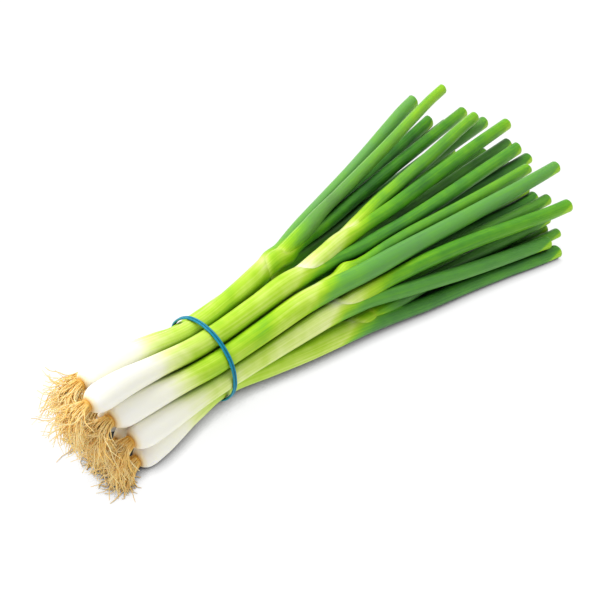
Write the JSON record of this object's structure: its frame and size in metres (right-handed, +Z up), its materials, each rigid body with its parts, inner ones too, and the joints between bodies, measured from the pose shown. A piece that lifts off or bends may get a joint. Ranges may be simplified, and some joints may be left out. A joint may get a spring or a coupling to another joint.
{
  "type": "spring onion bunch",
  "caption": "Bunch of fresh spring onions lying down, white bulbs with root tufts at one end and cut green leaves fanned out at the other, held together by a blue rubber band.",
  "frame": {"origin": "middle of the bunch's bounding box, at its base on the table", "axes": "+X from the bulbs and roots towards the cut leaf ends, +Z up, -Y the side with the front onions"},
  "size_m": [0.3964, 0.151, 0.0654],
  "materials": {
    "outer_leaf": "waxy skin, white at the bulb turning pale and then mid green",
    "second_leaf": "waxy green leaf",
    "heart_leaf": "young yellow-green leaf",
    "roots": "dry golden tan fibres",
    "band": "smooth stretched rubber"
  },
  "bodies": {
    "root": {"onion_1_outer_leaf": "outer_leaf", "onion_1_second_leaf": "second_leaf", "onion_1_heart_leaf": "heart_leaf", "onion_1_roots": "roots", "onion_2_outer_leaf": "outer_leaf", "onion_2_second_leaf": "second_leaf", "onion_2_heart_leaf": "heart_leaf", "onion_2_roots": "roots", "onion_3_outer_leaf": "outer_leaf", "onion_3_second_leaf": "second_leaf", "onion_3_heart_leaf": "heart_leaf", "onion_3_roots": "roots", "onion_4_outer_leaf": "outer_leaf", "onion_4_second_leaf": "second_leaf", "onion_4_heart_leaf": "heart_leaf", "onion_4_roots": "roots", "onion_5_outer_leaf": "outer_leaf", "onion_5_second_leaf": "second_leaf", "onion_5_heart_leaf": "heart_leaf", "onion_5_roots": "roots", "onion_6_outer_leaf": "outer_leaf", "onion_6_heart_leaf": "heart_leaf", "onion_6_roots": "roots", "onion_7_outer_leaf": "outer_leaf", "onion_7_heart_leaf": "heart_leaf", "onion_7_roots": "roots", "onion_8_outer_leaf": "outer_leaf", "onion_8_second_leaf": "second_leaf", "onion_8_heart_leaf": "heart_leaf", "onion_8_roots": "roots", "onion_9_outer_leaf": "outer_leaf", "onion_9_heart_leaf": "heart_leaf", "onion_9_roots": "roots", "onion_10_outer_leaf": "outer_leaf", "onion_10_heart_leaf": "heart_leaf", "onion_10_roots": "roots", "onion_11_outer_leaf": "outer_leaf", "onion_11_heart_leaf": "heart_leaf", "onion_11_roots": "roots", "rubber_band": "band"}
  },
  "joints": []
}
